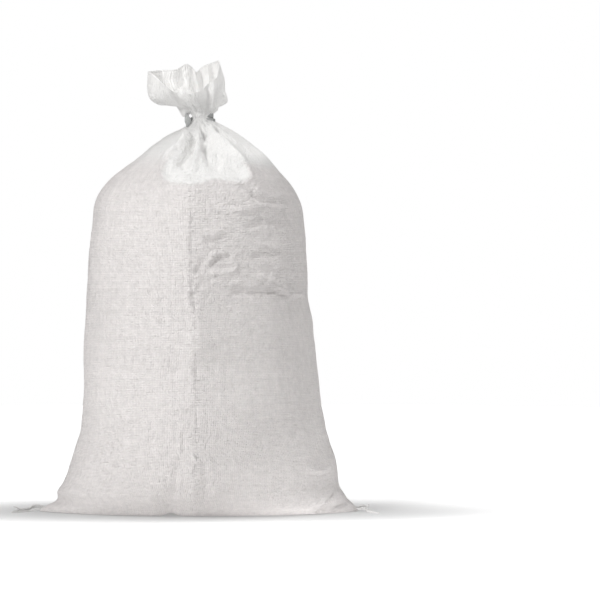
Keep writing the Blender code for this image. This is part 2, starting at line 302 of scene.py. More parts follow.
# The studio
FLOOR_RADIUS = 2.5
FLOOR_COLOUR = 0.85
FLOOR_BOUNCE_COLOUR = 0.66  # the sack gets less back from the floor than the camera sees
FLOOR_GLOW = 0.55
FLOOR_FAR_GLOW = 0.85
FLOOR_GLOWS_FROM = 0.60  # how far out the one starts to turn into the other
FOOT_SHADOW = (0.050, 0.230, 0.39)  # from where to where it fades, and its darkest share
FOOT_SHADOW_SHAPE = 0.36  # how much less distance counts sideways, as the foot is wide
FLOOR_BOUNCE_GLOW = 0.37
FLOOR_BRIGHT_SPOT = (0.18, -0.07, 0.18, 0.52)  # where it gives more back: X, Y, size, how much
AMBIENT = 0.13
BACKDROP = 1.0
LIT_POINT = (0.0, 0.0, 0.3)
# Name, place, width and watts of each softbox
SOFTBOXES = (
    ("key", (-1.75, -2.12, 1.9), 1.2, 78.0),
    ("overhead", (0.7, -0.2, 2.9), 2.4, 36.0),
    ("side", (1.9, 0.0, 1.2), 1.2, 11.0),
)

# The tie: a flat tape that goes twice round the neck from the knot at the back and returns to
# it. Degrees from the right by way of the back, stand-off, height and half width, in metres
TIE_TURNS = (
    (90, 0.0008, 0.5330, 0.0026),
    (135, 0.0010, 0.5312, 0.0030),
    (165, 0.0010, 0.5300, 0.0030),
    (190, -0.0010, 0.5300, 0.0016),
    (212, -0.0034, 0.5316, 0.0012),
    (240, -0.0034, 0.5330, 0.0012),
    (290, -0.0034, 0.5345, 0.0014),
    (315, -0.0008, 0.5352, 0.0028),
    (335, 0.0002, 0.5357, 0.0040),
    (360, 0.0002, 0.5350, 0.0040),
    (410, 0.0012, 0.5330, 0.0028),
    (450, 0.0020, 0.5312, 0.0026),
    (500, 0.0022, 0.5286, 0.0026),
    (540, 0.0004, 0.5275, 0.0024),
    (572, -0.0034, 0.5290, 0.0014),
    (600, -0.0034, 0.5300, 0.0012),
    (650, -0.0030, 0.5298, 0.0010),
    (672, -0.0002, 0.5294, 0.0018),
    (695, 0.0016, 0.5282, 0.0030),
    (715, 0.0026, 0.5277, 0.0033),
    (745, 0.0022, 0.5284, 0.0030),
    (790, 0.0024, 0.5300, 0.0024),
    (810, 0.0034, 0.5310, 0.0022),
)
# The slack loop at the left: place and half width
TIE_LOOP = metres((
    (-12.5, 1, 542.5, 0.5), (-14.6, -4, 539.4, 1.2), (-14.8, -8, 535.4, 2.4),
    (-13.9, -11, 531.3, 3.6), (-12.9, -13, 527.9, 4.5), (-12.9, -15, 523.9, 3.6),
    (-13.7, -16, 519.8, 1.5), (-12.8, -12, 516.5, 0.6),
))
TIE_THICKNESS = 0.0007
TIE_STATIONS = 220
TIE_CORNERS = 10
GROOVE_SHARE = 0.88  # the neck's width inside the tie, as a share of its full width
TIE_SEAT = 0.0018  # how far the tape's middle is from the groove, which the pleats fill
KNOT_HEIGHT = 0.5312
KNOT_STAND_OFF = 0.0045
KNOT_STATIONS = 72
KNOT_SIZE = 0.0019
KNOT_TAPE = 0.0015
# The tape's two ends behind the knot: sideways, back and up from the knot, and half width
TIE_ENDS = metres((
    ((1, 2, -1, 1.8), (6, 4, -1, 2.6), (12, 3.5, -6, 3), (17, 4.5, -12, 3.1)),
    ((-1, 2, -1, 1.8), (-5, 5, 1, 2.6), (-10, 6, -2, 3), (-14, 5, -7, 3)),
))

# The thread ends, as in the CAD model
THREAD_DIAMETER = 0.0024
THREAD_LEFT = metres((
    (-215.7, 0, 5.4), (-220, -1, 5.4), (-224, -3, 5), (-229, -6, 3), (-234, -10, 1.5),
    (-240, -15, 1.3), (-245, -21, 1.3), (-249, -28, 1.3),
))
THREAD_RIGHT = metres((
    (215.7, 0, 5.4), (220, -2, 5.4), (223.5, -6, 4.8), (227, -11, 3), (231, -17, 1.5),
    (235, -24, 1.3), (239, -31, 1.3), (244, -38, 1.3),
))
THREAD_PLIES = 3
THREAD_TWIST = 0.0070  # length of one full turn of the plies
THREAD_GROOVES = 0.16
THREAD_TAPER = 0.35  # how much thinner its end is
THREAD_STATION = 0.0004
THREAD_CORNERS = 18
# Loose strands beside each tail: points and diameter
STRANDS_LEFT = metres((
    (((-204, 0.5, 4.8), (-208, 0, 5.6), (-212.5, -0.6, 7.2), (-217.5, -1, 8.2), (-222.5, -3, 8),
      (-227, -7, 5.2), (-233, -10.5, 4.4), (-240, -14.5, 4.2), (-244, -17, 6.6), (-247.5, -18.5, 7.6)),
     2.4),
    (((-240, -17, 2.8), (-243.5, -18.5, 3.4), (-246.5, -20, 2.6), (-249.2, -21.5, 1.2)), 1.1),
    (((-204, -1, 2.4), (-209, -2, 3), (-214, -3, 3.8), (-219, -4.5, 3.6), (-225, -8, 1.6),
      (-232, -13, 1.2), (-239, -19.5, 1.2), (-244, -27, 1.2)),
     2.2),
    (((-204, 0, 4), (-210, -0.4, 4.8), (-216, -0.6, 5.4), (-217.6, -0.9, 5.4)), 2.3),
))
STRANDS_RIGHT = metres((
    (((206, 0.5, 4), (212, -0.5, 5), (216.5, -1.5, 6), (220.5, -2, 7.6), (225, -2.5, 7.8),
      (228.5, -3, 6.2), (230.5, -3, 7.2), (231.2, -3, 9.4)),
     2.8),
    (((223, -6, 6), (226.2, -7.5, 5.6), (229.6, -9, 3.2), (233, -12, 1.4), (238.5, -16, 1)), 2),
    (((205, -1, 2), (211, -2, 2.6), (217, -3, 3.4), (222, -4, 4), (226.5, -5.5, 3.4), (230, -7.5, 1.6)),
     3),
    (((206, 0, 4.2), (211.5, -0.3, 4.9), (216, -0.5, 5.4), (217.4, -1, 5.4)), 2.3),
))


def add_object(name, data, *materials):
    thing = bpy.data.objects.new(name, data)
    for material in materials:
        thing.data.materials.append(material)
    bpy.context.scene.collection.objects.link(thing)
    return thing


def aim(thing, target):
    thing.rotation_euler = (Vector(target) - thing.location).to_track_quat("-Z", "Y").to_euler()


def add_camera():
    data = bpy.data.cameras.new("camera")
    data.sensor_width = SENSOR_MILLIMETRES
    data.lens = data.sensor_width * VIEW_DISTANCE / VIEW_WIDTH
    camera = add_object("camera", data)
    camera.location = EYE
    aim(camera, VIEW_CENTRE)
    bpy.context.scene.camera = camera


def turns(count):
    """Angles evenly spaced round a circle."""
    return 2 * pi * np.arange(count) / count


def unit(vectors):
    """The vectors scaled to a length of 1, except where they have none."""
    return vectors / np.maximum(np.linalg.norm(vectors, axis=-1, keepdims=True), 1e-12)


def distances(points):
    """How far along a route each of its points is."""
    return np.concatenate([[0.0], np.cumsum(np.linalg.norm(np.diff(points, axis=0), axis=-1))])


def hermite(knots, values, at):
    """A smooth curve through values at knots, read at each number in at."""
    knots = np.asarray(knots, float)
    values = np.asarray(values, float)
    slopes = np.gradient(values, knots, axis=0)
    place = np.clip(np.searchsorted(knots, at, side="right") - 1, 0, len(knots) - 2)
    step = knots[place + 1] - knots[place]
    t = (at - knots[place]) / step
    shape = (-1,) + (1,) * (values.ndim - 1)
    step, t = step.reshape(shape), t.reshape(shape)
    return (
        (2 * t**3 - 3 * t**2 + 1) * values[place]
        + (t**3 - 2 * t**2 + t) * step * slopes[place]
        + (3 * t**2 - 2 * t**3) * values[place + 1]
        + (t**3 - t**2) * step * slopes[place + 1]
    )


def smooth_route(points, samples=8):
    """More points on a smooth curve through the given ones."""
    points = np.asarray(points, float)
    knots = distances(points)
    at = np.linspace(0.0, knots[-1], samples * (len(points) - 1) + 1)
    return hermite(knots, points, at)


def smoothstep(low, high, value):
    t = np.clip((value - low) / (high - low), 0.0, 1.0)
    return t * t * (3 - 2 * t)


def soften(values, softness, step):
    """Values a step apart, smoothed over a length, with both ends kept."""
    reach = int(3 * softness / step)
    kernel = np.exp(-0.5 * (np.arange(-reach, reach + 1) * step / softness) ** 2)
    before = 2 * values[0] - values[reach:0:-1]
    after = 2 * values[-1] - values[-2 : -reach - 2 : -1]
    return np.convolve(np.concatenate([before, values, after]), kernel / kernel.sum(), "valid")


def outline_at(heights):
    """Left edge, right edge and half depth at these heights, with the table's corners rounded."""
    table = np.array(OUTLINE)
    fine = np.arange(table[0, 0], table[-1, 0], OUTLINE_STEP)
    in_body = smoothstep(*BODY_FROM, fine) * (1 - smoothstep(*BODY_TO, fine))
    found = []
    for column in (1, 2, 3):
        values = np.interp(fine, table[:, 0], table[:, column])
        low, high = (soften(values, size, OUTLINE_STEP) for size in (FOOT_SOFTNESS, BODY_SOFTNESS))
        found.append(np.interp(heights, fine, low + in_body * (high - low)))
    left, right, depth = found
    share = np.clip(np.asarray(heights) / UNDER_HEIGHT, 0.0, 1.0)
    curve = np.sqrt(1 - (1 - share) ** 2)
    return left, right, CONTACT_HALF_DEPTH + (depth - CONTACT_HALF_DEPTH) * curve


def row_heights():
    """Heights of the body's rows, evenly spaced along the cloth at the front."""
    fine = np.linspace(0.0, 1.0, 2000) ** 2 * OUTLINE[-1][0]
    along = distances(np.stack([fine, outline_at(fine)[2]], axis=1))
    count = int(round(along[-1] / ROW_STEP))
    return np.interp(np.linspace(0.0, along[-1], count + 1), along, fine)


def body_surface(angles):
    """The sack from its foot to just below the tie, one row of points for each height."""
    heights = row_heights()
    left, right, depth = outline_at(heights)
    centre = ((left + right) / 2)[:, None]
    reach = ((right - left) / 2)[:, None]
    low = 1 - smoothstep(0.0, EAR_FREE_HEIGHT, heights)[:, None]
    inner = reach - low * np.maximum(reach - FOOT_HALF_WIDTH, 0.0)
    ear = np.abs(np.cos(angles)) ** EAR_SHARPNESS
    width = inner + (reach - inner) * ear
    rising = smoothstep(0.0, PINCHED_HEIGHT, heights)[:, None]
    easing = smoothstep(PINCHED_HEIGHT, ROUND_HEIGHT, heights)[:, None]
    power = BOXY + (PINCHED - BOXY) * rising + (1 - PINCHED) * easing
    at_floor, above = EAR_WEDGE
    flatness = at_floor + (1 - at_floor) * smoothstep(0.0, above, heights)[:, None]
    flat = low * flatness * np.minimum((reach - inner) / EAR_ROOT, 1.0) * ear
    sides = np.sin(angles)
    rows = np.empty((len(heights), len(angles), 3))
    rows[:, :, 0] = centre + width * np.cos(angles)
    rows[:, :, 1] = depth[:, None] * np.sign(sides) * np.abs(sides) ** power * (1 - flat) ** EAR_THINNING
    rows[:, :, 2] = heights[:, None] + FLOOR_CLEARANCE
    place, half_width, rise, height = FOOT_NOTCH
    notch = np.exp(-(((rows[:, :, 0] - place) / half_width) ** 2)) * (sides < 0)
    rows[:, :, 2] += rise * notch * (1 - smoothstep(0.0, height, heights))[:, None]
    return rows


def foot_surface(angles, edge):
    """The underside, from the seam out to the foot's edge."""
    seam = np.zeros_like(edge)
    seam[:, 0] = SEAM_TIP * np.cos(angles)
    seam[:, 2] = FLOOR_CLEARANCE
    shares = np.linspace(0.0, 1.0, SEAM_ROWS, endpoint=False)
    return np.array([seam + share * (edge - seam) for share in shares])


def neck_ring(angles, height):
    x = NECK_CENTRE + NECK_HALF_WIDTH * np.cos(angles)
    return np.stack([x, NECK_HALF_DEPTH * np.sin(angles), np.full(len(angles), height)], axis=1)


def neck_surface(angles):
    """The rings of points inside the tie, pulled in like a groove."""
    centre = np.array([NECK_CENTRE, 0.0])
    rings = np.array([neck_ring(angles, height) for height, _ in NECK_RINGS])
    shares = np.array([share for _, share in NECK_RINGS])[:, None, None]
    rings[..., :2] = centre + shares * (rings[..., :2] - centre)
    return rings


def sighted(points, depth):
    """The points moved along the camera's lines of sight to a depth, or each to its own."""
    share = (depth - EYE[1]) / (points[..., 1] - EYE[1])
    return EYE + (points - EYE) * share[..., None]


def seen_from_front(points):
    """Where the camera sees each point, on the upright plane through the origin."""
    return sighted(points, 0.0)[..., ::2]


def behind_picture(places):
    """The points that the camera sees at these places of the front view, at their depths."""
    places = np.array(places)
    flat = np.stack([places[:, 0], np.zeros(len(places)), places[:, 1]], axis=1)
    return sighted(flat, places[:, 2])


def soften_round(values, softness):
    """Smooths values from column to column, right round the sack."""
    reach = int(3 * softness)
    weights = np.exp(-0.5 * (np.arange(-reach, reach + 1) / softness) ** 2)
    weights /= weights.sum()
    return sum(weight * np.roll(values, shift - reach, axis=0) for shift, weight in enumerate(weights))


def facets(knots, values, at):
    """Straight stretches between knots round the sack, with slightly rounded corners."""
    found = [np.interp(at, knots, values[:, axis], period=1.0) for axis in range(3)]
    return soften_round(np.stack(found, axis=1), FACET_SOFTNESS)


def mouth_surface(angles):
    """The flared mouth above the tie, up to its free edge."""
    shares = angles / (2 * pi)
    knots, *levels = zip(*MOUTH)
    neck = neck_ring(angles, NECK_TOP)
    low, middle, rim = (facets(knots, behind_picture(level), shares) for level in levels)
    share, rise, width = ARMPIT
    root = neck + share * (low - neck)
    spread = np.linalg.norm((low - neck)[:, :2], axis=1)
    root[:, 2] += rise * np.minimum(spread / width, 1.0)
    share, droop, start, full = DROOP
    hang = neck + share * (low - neck)
    hang[:, 2] -= droop * smoothstep(start, full, spread)
    steps = np.linspace(0.0, 1.0, MOUTH_STEPS + 1)
    return hermite(MOUTH_STATIONS, np.array([neck, hang, root, low, middle, rim]), steps)


def gathered_shut(ring):
    """Rings that close the neck below the lining's last ring."""
    centre = ring.mean(axis=0)
    return np.array([centre + share * (ring - centre) - (0.0, 0.0, sink) for share, sink in SHUT])


def grid_normals(rows):
    """Outward unit normals of a grid that closes on itself from column to column."""
    across = np.roll(rows, -1, axis=1) - np.roll(rows, 1, axis=1)
    return unit(np.cross(across, np.gradient(rows, axis=0)))


def near_route(places, route):
    """Distance from each place to a route, and how far along it that is."""
    best = np.full(places.shape[:-1], np.inf)
    along = np.zeros(places.shape[:-1])
    lengths = np.linalg.norm(np.diff(route, axis=0), axis=1)
    total = lengths.sum()
    done = 0.0
    for start, end, length in zip(route, route[1:], lengths):
        direction = (end - start) / length
        t = np.clip((places - start) @ direction, 0.0, length)
        distance = np.linalg.norm(places - start - t[..., None] * direction, axis=-1)
        closer = distance < best
        best = np.where(closer, distance, best)
        along = np.where(closer, (done + t) / total, along)
        done += length
    return best, along


def fold_height(places, fold, keel):
    """How far one fold lifts the cloth at each place. A keel is sharp along its top."""
    points, widths, rises = fold
    distance, along = near_route(places, smooth_route(points))
    width = widths[0] + (widths[1] - widths[0]) * along
    rise = rises[0] + (rises[1] - rises[0]) * along
    start, end, left = FOLD_ENDS
    ends = smoothstep(0.0, start, along + left) * smoothstep(0.0, end, 1 - along + left)
    across = (distance / width) ** 2
    return rise * ends * np.exp(-np.sqrt(across + KEEL_ROUNDING) if keel else -across)


def inside(places, route):
    """True where a place lies within a closed outline."""
    x, z = places[..., 0], places[..., 1]
    crossings = np.zeros(places.shape[:-1], int)
    for (x0, z0), (x1, z1) in zip(route, np.roll(route, -1, axis=0)):
        spans = (z0 > z) != (z1 > z)
        at = x0 + (z - z0) / (z1 - z0 if z1 != z0 else 1e-12) * (x1 - x0)
        crossings += spans & (x < at)
    return crossings % 2 == 1


def empty_cloth(places):
    """Signed distance into the empty stretch under the tie: above 0 inside it."""
    outline = smooth_route(EMPTY + EMPTY[:1], samples=4)[:-1]
    closed = np.vstack([outline, outline[:1]])
    distance = near_route(places, closed)[0]
    return np.where(inside(places, outline), distance, -distance)


def soft_noise(points, scale, seed):
    """Smooth noise about 0 at each point, the same each time."""
    shift = np.array([7.31, 3.17, 5.53]) * seed
    flat = (points.reshape(-1, 3) / scale + shift).tolist()
    return np.array([noise.noise(point) for point in flat]).reshape(points.shape[:-1])


def creased_noise(points, scale, seed):
    """Noise about 0 with sharp ridges and sharp valleys, as in cloth that was once folded up."""
    ridges = np.abs(soft_noise(points, scale, seed))
    valleys = np.abs(soft_noise(points, scale * 1.2, seed + 1))
    return valleys - ridges


def pleat_profile(shares, count, seed):
    """Uneven pleats round the neck: broad ridges of height 1 with sharp valleys between."""
    phase = count * shares
    for waves, size in PLEAT_WAVES:
        phase = phase + size * np.sin(2 * pi * (waves * shares + 0.37 * seed * waves))
    strength = 0.75 + 0.25 * np.sin(2 * pi * (4 * shares + 0.21 * seed))
    return strength * (np.abs(np.cos(pi * phase)) ** 0.8 - 0.5)


def pleat_depth(distance, pleats):
    """How deep pleats are at a distance from the tie."""
    _, at_tie, most, peak, reach = pleats
    growing = at_tie + (most - at_tie) * smoothstep(0.0, peak, distance)
    return growing * (1 - smoothstep(peak, reach, distance))


def gather_height(rows, front):
    """The pleats below the tie and above it."""
    shares = np.arange(rows.shape[1]) / rows.shape[1]
    steps = np.linalg.norm(np.diff(rows, axis=0), axis=2).mean(axis=1)
    along = np.concatenate([[0.0], np.cumsum(steps)])
    tie_row = rows.shape[0] - MOUTH_STEPS - 2 - len(NECK_RINGS) // 2
    from_tie = (along - along[tie_row])[:, None]
    fine, broad, mouth = (
        pleat_profile(shares, pleats[0], seed) * pleat_depth(np.abs(from_tie), pleats)
        for pleats, seed in ((FINE_PLEATS, 1), (BROAD_PLEATS, 2), (MOUTH_PLEATS, 1))
    )
    left = 1 - (1 - FRONT_PLEATS) * front
    return np.where(from_tie <= 0, fine * (0.4 + 0.6 * left) + broad * left, mouth)


def fold_cloth(rows):
    """The cloth's folds, first the large ones and then the small wrinkles."""
    normals = grid_normals(rows)
    places = seen_from_front(rows)
    front = smoothstep(*FRONT_FACING, -normals[..., 1]) * (rows[..., 1] < 0)
    depth = empty_cloth(places)
    lift = EMPTY_LIP * np.exp(-((depth / EMPTY_LIP_WIDTH) ** 2))
    lift -= EMPTY_DIP * smoothstep(0.0, EMPTY_BANK, depth)
    for keel, folds in ((True, KEELS), (False, FRONT_FOLDS)):
        lift += sum(fold_height(places, fold, keel) for fold in folds)
    rows = rows + (lift * front + gather_height(rows, front))[..., None] * normals
    normals = grid_normals(rows)
    in_mouth = (np.arange(len(rows)) > len(rows) - MOUTH_STEPS + 4)[:, None]
    patches = 0.5 + 0.5 * smoothstep(-0.2, 0.3, soft_noise(rows, PATCH_SIZE, 5))
    body_lift = SWELLS[1] * soft_noise(rows, SWELLS[0], 3)
    body_lift += CRUMPLES[1] * patches * creased_noise(rows, CRUMPLES[0], 7)
    mouth_lift = MOUTH_CRUMPLES[1] * creased_noise(rows, MOUTH_CRUMPLES[0], 11)
    lift = np.where(in_mouth, mouth_lift, body_lift)
    lift = lift * smoothstep(0.0, SMOOTH_FOOT, rows[..., 2])
    rows = rows + lift[..., None] * normals
    rows[..., 2] = np.maximum(rows[..., 2], FLOOR_CLEARANCE)
    return rows


def cloth_mesh(name, rows, upward):
    """A quad mesh of the rows. The seam row is sewn shut, front to back."""
    count, columns = rows.shape[:2]
    order = np.arange(count * columns).reshape(count, columns)
    for column in range(columns // 2 + 1, columns):
        order[0, column] = columns - column
    kept = np.unique(order)
    renumber = np.full(count * columns, -1)
    renumber[kept] = np.arange(len(kept))
    order = renumber[order]
    after = np.roll(order, -1, axis=1)
    faces = np.stack([order[:-1], after[:-1], after[1:], order[1:]], axis=-1).reshape(-1, 4)
    mesh = bpy.data.meshes.new(name)
    mesh.from_pydata(rows.reshape(-1, 3)[kept].tolist(), [], faces.tolist())
    mesh.shade_smooth()
    chart = mesh.uv_layers.new(name="cloth")
    around = np.arange(columns + 1) / columns * GIRTH
    left, right, low, high = around[:-1], around[1:], upward[:-1, None], upward[1:, None]
    pairs = ((left, low), (right, low), (right, high), (left, high))
    corners = np.stack([np.stack(np.broadcast_arrays(*pair), -1) for pair in pairs], axis=2)
    chart.data.foreach_set("uv", corners.reshape(-1).astype(np.float32))
    return mesh


def emptiness_and_glow_marks(points, lining_points):
    """How empty the sack is behind each point, and how strong the cloth's painted glow is there."""
    front = smoothstep(0.0, 0.01, -points[:, 1])
    at_front = smoothstep(-0.002, 0.004, empty_cloth(seen_from_front(points)))
    overhead = smoothstep(*EMPTY_ABOVE_HEAP, points[:, 2])
    # a spot of stronger painted glow on the right shoulder
    x, z, size, more = PAINTED_GLOW_SPOT
    more = more * smoothstep(-0.05, 0.02, -points[:, 1])
    overhead *= 1 + more * np.exp(-((points[:, 0] - x) ** 2 + (points[:, 2] - z) ** 2) / size**2)
    empty = np.maximum(at_front * front * (points[:, 2] < NECK_TOP), overhead)
    # the mouth gets more painted glow, in place of light coming through the thin cloth
    empty = empty + (MOUTH_EMPTY_AND_GLOW - 1) * smoothstep(*MOUTH_GLOW_FROM, points[:, 2])
    # less painted glow on the flap at the left
    start, end, share = FLAP_GLOW_DIMMING
    flap = smoothstep(start, end, -points[:, 0]) * smoothstep(NECK_TOP, NECK_TOP + 0.006, points[:, 2])
    empty = empty * (1 - (1 - share) * flap)
    # the lining inside the mouth gets the strongest painted glow
    lit = smoothstep(NECK_TOP, NECK_TOP + 0.025, points[-lining_points:, 2])
    empty[-lining_points:] = LINING_EMPTY_AND_GLOW * lit
    return empty


def wrinkle_marks(places):
    """How strong the crosswise and the upright wrinkles are at each place."""
    marks = np.full((len(places), 2), WRINKLED_ELSEWHERE)
    for x, z, half_width, half_height, crosswise, upright in WRINKLED:
        away = ((places[:, 0] - x) / half_width) ** 2 + ((places[:, 1] - z) / half_height) ** 2
        marks = np.maximum(marks, np.exp(-0.7 * away)[:, None] * (crosswise, upright))
    return marks


def mark_cloth(mesh, lining_points):
    """Stores what the cloth's material reads at each point: marks and distances to the creases."""
    points = np.empty(3 * len(mesh.vertices))
    mesh.vertices.foreach_get("co", points)
    points = points.reshape(-1, 3)
    front = smoothstep(-0.02, 0.02, -points[:, 1])
    seen = seen_from_front(points)
    from_behind = points[:, ::2] * (-1.0, 1.0)
    crosswise, upright = front * wrinkle_marks(seen).T + (1 - front) * wrinkle_marks(from_behind).T
    heights, middles = zip(*MIDDLE_CREASE)
    across, levels = zip(*CROSS_CREASE)
    marks = {
        # how empty the cloth is; the part above 1 only strengthens the painted glow
        "empty": emptiness_and_glow_marks(points, lining_points),
        "crosswise": crosswise,
        "upright": upright,
        "from_middle": seen[:, 0] - np.interp(seen[:, 1], heights, middles),
        "from_cross": seen[:, 1] - np.interp(seen[:, 0], across, levels),
    }
    for name, values in marks.items():
        layer = mesh.attributes.new(name, "FLOAT", "POINT")
        layer.data.foreach_set("value", values.astype(np.float32))


def make_sack():
    angles = turns(COLUMNS)
    body = body_surface(angles)
    parts = [foot_surface(angles, body[0]), body, neck_surface(angles), mouth_surface(angles)]
    rows = fold_cloth(np.concatenate(parts))
    lining = (rows - CLOTH_THICKNESS * grid_normals(rows))[: -MOUTH_STEPS - 3 : -1]
    rows = np.concatenate([rows, lining, gathered_shut(lining[-1])])
    mesh = cloth_mesh("sack", rows, distances(rows[:, COLUMNS * 3 // 4]))
    mark_cloth(mesh, (MOUTH_STEPS + len(SHUT)) * COLUMNS)
    return add_object("sack", mesh, woven_material())


def make_contents():
    """The loose fill: the body's own shape, a little smaller, with a low heap on top."""
    body = body_surface(turns(CONTENTS_COLUMNS))[::CONTENTS_ROW_STEP]
    body = body[(body[:, 0, 2] > CONTENTS_INSET) & (body[:, 0, 2] < HEAP_HEIGHT)]
    body = body - CONTENTS_INSET * grid_normals(body)
    widest = np.abs(body[..., 0]).max(axis=1, keepdims=True)
    body[..., 0] *= np.minimum(1.0, (FOOT_HALF_WIDTH - 2 * CONTENTS_INSET) / widest)
    centre = body[-1].mean(axis=0)
    rows = list(body)
    for share in HEAP_RINGS:
        ring = centre + share * (body[-1] - centre)
        ring[:, 2] = HEAP_TOP - (HEAP_TOP - centre[2]) * share**3
        rows.append(ring)
    work = bmesh.new()
    skin(work, rows)
    return finish_mesh("contents", work, sand_material())


def fill_in(tree, node, inputs):
    """Sets a node's inputs. Each is a value or another node's output."""
    for key, value in inputs.items():
        if isinstance(value, bpy.types.NodeSocket):
            tree.links.new(value, node.inputs[key])
        else:
            node.inputs[key].default_value = value


def add_node(tree, kind, inputs=None, **settings):
    """The outputs of a new node."""
    node = tree.nodes.new("ShaderNode" + kind)
    for name, setting in settings.items():
        setattr(node, name, setting)
    fill_in(tree, node, inputs or {})
    return node.outputs


def new_material(name, colour, roughness):
    """A material with a Principled shader, its node tree and that shader."""
    material = bpy.data.materials.new(name)
    material.use_nodes = True
    tree = material.node_tree
    shader = tree.nodes["Principled BSDF"]
    fill_in(tree, shader, {"Base Color": (*colour, 1.0), "Roughness": roughness})
    return material, tree, shader


def calc(tree, operation, *values):
    """A Math node's result. Each value is a number or another node's output."""
    return add_node(tree, "Math", dict(enumerate(values)), operation=operation)[0]


def vector_calc(tree, operation, *values):
    """A Vector Math node's result, which is a number for a length or a distance."""
    output = "Value" if operation in ("LENGTH", "DISTANCE") else "Vector"
    return add_node(tree, "VectorMath", dict(enumerate(values)), operation=operation)[output]


def noise_texture(tree, vector, scale, detail=2.0, roughness=0.5):
    inputs = {"Vector": vector, "Scale": scale, "Detail": detail, "Roughness": roughness}
    return add_node(tree, "TexNoise", inputs)["Fac"]


def tinted(tree, light, tint):
    """A colour of one tint, as light as light says. The tint's levels are numbers or outputs."""
    levels = [calc(tree, "MULTIPLY", light, level) for level in tint]
    return add_node(tree, "CombineColor", dict(zip(("Red", "Green", "Blue"), levels)))["Color"]


def add_bump(tree, shader, height, strength, distance, **under):
    """Relief in a shader's normal, on top of other relief if that is given as Normal."""
    inputs = {"Height": height, "Strength": strength, "Distance": distance, **under}
    normal = add_node(tree, "Bump", inputs)["Normal"]
    fill_in(tree, shader, {"Normal": normal})
    return normal


def tape_shade(tree, number, seed):
    """A number from 0 to 1 that differs from tape to tape."""
    place = calc(tree, "ADD", number, seed)
    return add_node(tree, "TexWhiteNoise", {"W": place}, noise_dimensions="1D")["Value"]


def blend(tree, share, low, high):
    """A value that goes from low to high as share goes from 0 to 1."""
    if isinstance(low, (int, float)) and isinstance(high, (int, float)):
        return calc(tree, "MULTIPLY_ADD", share, high - low, low)
    return calc(tree, "MULTIPLY_ADD", calc(tree, "SUBTRACT", high, low), share, low)


def attribute(tree, name):
    return add_node(tree, "Attribute", attribute_name=name)["Fac"]


def object_place(tree):
    return add_node(tree, "TexCoord")["Object"]


def stretched(tree, vector, across, along, up=1.0):
    """A vector scaled by its own factor each way, for patterns that are longer one way."""
    return vector_calc(tree, "MULTIPLY", vector, (across, along, up))


def about_zero(tree, value, middle=0.5):
    return calc(tree, "SUBTRACT", value, middle)


def mottled(tree, light, *patterns):
    """A lightness made uneven. Each pattern is a value about a half and how much of it shows."""
    for value, amount in patterns:
        light = calc(tree, "MULTIPLY_ADD", about_zero(tree, value), amount, light)
    return light


def bell(tree, distance, width):
    """1 at no distance, falling to 0 over a width or two."""
    away = calc(tree, "DIVIDE", distance, width)
    return calc(tree, "POWER", 0.4, calc(tree, "MULTIPLY", away, away))


def tape_height(tree, side, length):
    """A tape's rise: flat across, and arched where it passes over another tape."""
    edge = calc(tree, "ABSOLUTE", calc(tree, "MULTIPLY_ADD", side, 2.0, -1.0))
    flat = calc(tree, "SUBTRACT", 1.0, calc(tree, "POWER", edge, 5.0))
    arch = calc(tree, "SINE", calc(tree, "MULTIPLY", length, pi))
    return calc(tree, "MULTIPLY", flat, calc(tree, "MULTIPLY_ADD", arch, 0.5, 0.5))


def weave(tree, chart):
    """The height of the tapes of a plain weave, and a shade that differs from tape to tape."""
    split = add_node(tree, "SeparateXYZ", {"Vector": chart})
    scale, reach = TAPE_DRIFT
    drift = calc(tree, "MULTIPLY", about_zero(tree, noise_texture(tree, chart, scale)), reach)
    around, upward = (calc(tree, "MULTIPLY_ADD", split[axis], 1 / TAPE_PITCH, drift) for axis in "XY")
    warp, weft = calc(tree, "FLOOR", around), calc(tree, "FLOOR", upward)
    across, along = calc(tree, "FRACT", around), calc(tree, "FRACT", upward)
    weft_on_top = calc(tree, "MODULO", calc(tree, "ADD", warp, weft), 2.0)
    height = blend(tree, weft_on_top, tape_height(tree, across, along), tape_height(tree, along, across))
    shade = blend(tree, weft_on_top, tape_shade(tree, warp, 0.3), tape_shade(tree, weft, 500.7))
    return height, shade


def cloth_relief(tree, chart):
    """Wrinkles and creases too fine for the mesh, in metres."""
    relief = 0.0
    for scale, rise in CRINKLES:
        crinkle = calc(tree, "ABSOLUTE", about_zero(tree, noise_texture(tree, chart, scale, 3.0, 0.6)))
        relief = calc(tree, "MULTIPLY_ADD", crinkle, rise, relief)
    scale, reach = WANDER
    drift = noise_texture(tree, chart, scale, 1.0)
    wander = vector_calc(tree, "MULTIPLY_ADD", drift, (reach, reach, 0.0), chart)
    for name, (across, along, rise) in (("crosswise", CROSSWISE), ("upright", UPRIGHT)):
        lines = noise_texture(tree, stretched(tree, wander, across, along), 1.0, 2.0, 0.55)
        strength = calc(tree, "MULTIPLY", attribute(tree, name), rise)
        relief = calc(tree, "MULTIPLY_ADD", about_zero(tree, lines), strength, relief)
    scale, gain, offset, least = CREASE_BREAKS
    broken = calc(tree, "MULTIPLY_ADD", noise_texture(tree, chart, scale), gain, offset)
    broken = calc(tree, "MAXIMUM", broken, least)
    for name in ("from_middle", "from_cross"):
        fold = calc(tree, "MULTIPLY", bell(tree, attribute(tree, name), CREASE_WIDTH), broken)
        relief = calc(tree, "MULTIPLY_ADD", fold, -CREASE_DEPTH, relief)
    puckers = noise_texture(tree, stretched(tree, chart, *PUCKER_SCALES), 1.0, 1.0)
    near = bell(tree, attribute(tree, "from_middle"), PUCKERS[0])
    puckers = calc(tree, "MULTIPLY", about_zero(tree, puckers), near)
    return calc(tree, "MULTIPLY_ADD", puckers, PUCKERS[1], relief)


